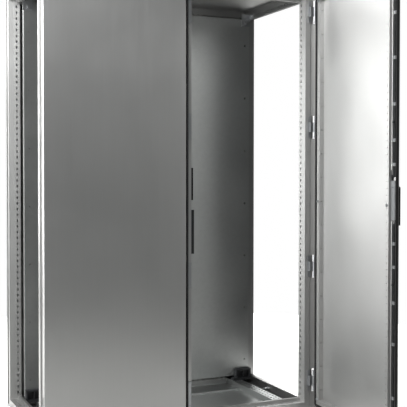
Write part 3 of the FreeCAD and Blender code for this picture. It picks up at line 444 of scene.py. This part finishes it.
def rounded_path(corners, radius, step):
    """Points along straight runs joined by quarter circles. A quarter circle of radius r at
    corner p, between unit directions a (in) and b (out), is p + r (b - a) + r (a sin t - b
    cos t), for t from 0 to 90 degrees."""
    corners = np.asarray(corners, float)
    runs = np.diff(corners, axis=0)
    ways = runs / np.linalg.norm(runs, axis=1, keepdims=True)
    t = np.linspace(0, math.pi / 2, 9)[:, None]
    pieces = []
    start = corners[0]
    for p, a, b in zip(corners[1:-1], ways[:-1], ways[1:]):
        arc = p + radius * (b - a) + radius * (a * np.sin(t) - b * np.cos(t))
        count = max(2, int(np.linalg.norm(arc[0] - start) / step))
        pieces += [start + (arc[0] - start) * np.linspace(0, 1, count)[:-1, None], arc[:-1]]
        start = arc[-1]
    count = max(2, int(np.linalg.norm(corners[-1] - start) / step))
    pieces.append(start + (corners[-1] - start) * np.linspace(0, 1, count)[:, None])
    return np.vstack(pieces)


def carried(path, across_width, height, up, seed):
    """Rings of the dome section along a path in a vertical plane, rising along up."""
    t = np.linspace(0, math.pi, 13)
    c, s = np.cos(t), np.sin(t)
    x = across_width / 2 * np.sign(c) * np.abs(c) ** 0.6
    y = height * np.clip(s, 0, 1) ** 0.7
    along = np.gradient(path, axis=0)
    along /= np.linalg.norm(along, axis=1, keepdims=True)
    side = np.cross(along, up)
    travel = np.linspace(0, len(path) * 0.37, len(path))
    wander = 1 - 0.02 + 0.02 * np.sin(travel + seed) * np.sin(0.61 * travel + 2 * seed)
    return (path[:, None, :] + (wander[:, None] * x[None, :])[..., None] * side[:, None, :]
            + (wander[:, None] * y[None, :])[..., None] * np.asarray(up)[None, None, :])


# %% [markdown]
# The bead runs along the bottom, hinge side and top of each door. The free side of the right
# door closes on a straight bead that sits on the left door's rebate.

# %% Door gaskets
bead_width = 10 * MM
bend_radius = 12 * MM
point_gap = 25 * MM
centre_points = 72


def door_bead(name, node, opened):
    """Bead on a door's channel along its bottom, hinge side and top."""
    low, high = closed_box(node, opened)
    w = bead_width
    base_y, height = low[1], high[1] - low[1]
    free_x, hinge_x = (low[0], high[0]) if opened else (high[0], low[0])
    inward = w / 2 * np.sign(hinge_x - free_x)
    corners = [(free_x, base_y, low[2] + w / 2), (hinge_x - inward, base_y, low[2] + w / 2),
               (hinge_x - inward, base_y, high[2] - w / 2), (free_x, base_y, high[2] - w / 2)]
    path = rounded_path(corners, bend_radius, point_gap)
    rings = carried(path, w, height, (0.0, 1.0, 0.0), seed=1.7)
    if opened:
        rings = turned(rings, open_turn)
    bead = skin(name, rings, foam)
    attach(bead, "right_door" if opened else "left_door")
    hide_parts(node)
    return bead


door_bead("foam_bead_right_door", "right_door_gasket", opened=True)
door_bead("foam_bead_left_door", "left_door_gasket", opened=False)

seal_low, seal_high = closed_box("centre_gasket")
seal_mid = (seal_low[0] + seal_high[0]) / 2
seal_path = np.stack([np.full(centre_points, seal_mid), np.full(centre_points, seal_high[1]),
                      np.linspace(seal_low[2], seal_high[2], centre_points)], -1)
centre_bead = skin("foam_bead_centre",
                   carried(seal_path, seal_high[0] - seal_low[0], seal_high[1] - seal_low[1],
                           (0.0, -1.0, 0.0), seed=0.4), foam)
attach(centre_bead, "left_door")
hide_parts("centre_gasket")
print("three foam beads laid")

# %% [markdown]
# ## Floor, sky and lamps
# A pale round floor carries the cabinet. The surroundings are white to the eye but light the
# steel only softly, as grey studio walls would. Large lamps give the steel something to
# reflect: a wide softbox on the left, a key softbox at the front left, one behind on the left,
# a narrow strip beside the left posts and one overhead. Two more lamps light the floor.

# %% Floor
def pale_floor(name):
    """Matt painted floor with a faint broad unevenness."""
    made, tree, shader = material(name)
    place = pattern_place(tree, (1, 1, 1)).outputs[0]
    cloud = add(tree, "ShaderNodeTexNoise", {"Vector": place, "Scale": 3.0, "Detail": 3.0})
    tone = add(tree, "ShaderNodeMapRange", {"Value": cloud.outputs["Fac"], "To Min": 0.99,
                                            "To Max": 1.0})
    colour = add(tree, "ShaderNodeVectorMath", {0: linear("#F4F4F2")[:3],
                                                "Scale": tone.outputs[0]}, operation="SCALE")
    tree.links.new(colour.outputs[0], shader.inputs["Base Color"])
    shader.inputs["Roughness"].default_value = 0.9
    return made


def disc(name, radius, rings=8, spokes=96):
    """Flat disc: point (i, j) lies at radius times i / rings, at angle 2 pi j / spokes."""
    r = np.linspace(0, radius, rings + 1)[1:, None]
    a = np.linspace(0, 2 * math.pi, spokes, endpoint=False)[None, :]
    xyz = np.stack([r * np.cos(a), r * np.sin(a), 0 * r * a], -1).reshape(-1, 3)
    points = np.vstack([[[0, 0, 0]], xyz])
    j = np.arange(spokes)
    k = (j + 1) % spokes
    fan = np.stack([0 * j, 1 + j, 1 + k], 1).tolist()
    bands = [np.stack([1 + i * spokes + j, 1 + (i + 1) * spokes + j,
                       1 + (i + 1) * spokes + k, 1 + i * spokes + k], 1).tolist()
             for i in range(rings - 1)]
    mesh = bpy.data.meshes.new(name)
    mesh.from_pydata(points.tolist(), [], fan + [f for band in bands for f in band])
    made = bpy.data.objects.new(name, mesh)
    bpy.context.scene.collection.objects.link(made)
    return made


floor = disc("floor", 2.6)
floor.data.materials.append(pale_floor("painted_floor"))
print("floor laid")

# %% Sky and lamps
scene = bpy.context.scene
scene.view_settings.view_transform = "Standard"
world = bpy.data.worlds.new("studio")
scene.world = world
world.use_nodes = True
sky = world.node_tree
sky.nodes.clear()
sky_seen = add(sky, "ShaderNodeBackground", {"Color": (1, 1, 1, 1), "Strength": 1.0})
sky_light = add(sky, "ShaderNodeBackground", {"Color": linear("#F2F5F4"), "Strength": 0.235})
ray = add(sky, "ShaderNodeLightPath")
both = add(sky, "ShaderNodeMixShader", {0: ray.outputs["Is Camera Ray"], 1: sky_light.outputs[0],
                                        2: sky_seen.outputs[0]})
add(sky, "ShaderNodeOutputWorld", {"Surface": both.outputs[0]})


def softbox(name, place, aim, size, power):
    """Rectangular lamp at a place, facing a point; power in watts."""
    data = bpy.data.lights.new(name, "AREA")
    data.shape = "RECTANGLE"
    data.size, data.size_y = size
    data.energy = power
    lamp = bpy.data.objects.new(name, data)
    lamp.location = place
    lamp.rotation_euler = (Vector(aim) - Vector(place)).to_track_quat("-Z", "Y").to_euler()
    scene.collection.objects.link(lamp)
    lamp.visible_camera = False
    return lamp


cabinet = bpy.data.collections.new("lit_steel")
key = softbox("key_softbox", (-2.9, -2.6, 2.7), (-0.4, 0.0, 1.4), (1.4, 1.4), 105)
left = softbox("left_softbox", (-3.4, -0.5, 0.72), (0.5, -0.5, 0.5), (2.6, 2.0), 135)
back = softbox("back_left_softbox", (-2.4, 2.6, 2.6), (-0.5, 0.0, 1.3), (2.0, 1.6), 38)
softbox("top_softbox", (0.6, -1.6, 4.2), (0.2, -0.6, 0.0), (2.6, 1.6), 40)
side = softbox("side_strip", (-1.7, -0.15, 1.5), (-0.58, 0.25, 1.3), (0.3, 1.8), 54)
ground = softbox("floor_lamp", (1.2, 3.6, 3.4), (0.9, 2.1, 0.0), (2.6, 1.6), 230)
ground.data.spread = math.radians(110)
softbox("left_floor_lamp", (-2.7, -0.5, 2.3), (-2.5, -0.5, 0.0), (1.6, 1.6), 90)
for lamp in (key, left, back, side):
    lamp.light_linking.receiver_collection = cabinet
print("seven lamps hung")

# %% [markdown]
# Brushed sheet still shows whatever stands opposite it. A black cloth hangs to the right of the
# cabinet and lies on the floor before it, so that the closed door and the plate reflect
# something dark. The camera does not see the cloth and it casts no shadow.

# %% Dark flag
def black_cloth(name):
    """Matt black cloth with a coarse weave 3 mm apart."""
    made, tree, shader = material(name)
    weave = add(tree, "ShaderNodeTexNoise", {"Vector": pattern_place(tree, (1, 1, 1)).outputs[0],
                                             "Scale": 1 / (3 * MM)})
    tone = add(tree, "ShaderNodeMapRange", {"Value": weave.outputs["Fac"], "To Min": 0.8,
                                            "To Max": 1.2})
    colour = add(tree, "ShaderNodeVectorMath", {0: linear("#1A1A1A")[:3],
                                                "Scale": tone.outputs[0]}, operation="SCALE")
    tree.links.new(colour.outputs[0], shader.inputs["Base Color"])
    shader.inputs["Roughness"].default_value = 1.0
    return made


flag_x, flag_inner_x, flag_top, lift = 1.9, 0.75, 2.6, 0.012
line = np.array([(flag_x, flag_top), (flag_x, 1.4), (flag_x, lift), (1.3, lift),
                 (flag_inner_x, lift)])
depths = np.array([-3.2, -2.0, -0.9, 0.2])
rows, columns = len(line), len(depths)
cloth = np.stack([np.repeat(line[:, 0], columns), np.tile(depths, rows),
                  np.repeat(line[:, 1], columns)], -1)
patch = np.arange(rows * columns).reshape(rows, columns)
squares = np.stack([patch[:-1, :-1], patch[1:, :-1], patch[1:, 1:], patch[:-1, 1:]], -1)
flag_mesh = bpy.data.meshes.new("flag")
flag_mesh.from_pydata(cloth.tolist(), [], squares.reshape(-1, 4).tolist())
flag_mesh.materials.append(black_cloth("black_cloth"))
flag = bpy.data.objects.new("flag", flag_mesh)
scene.collection.objects.link(flag)
flag.visible_camera = False
flag.visible_shadow = False
print("flag hung on the right")

# %% [markdown]
# The four lamps at the sides light the cabinet's pieces and not the floor or the cloth. Their
# reflections in the floor would otherwise brighten the closed door from below.

# %% Light only the cabinet with the four side lamps
for thing in list(scene.objects):
    if thing.type == "MESH" and thing not in (floor, flag):
        cabinet.objects.link(thing)
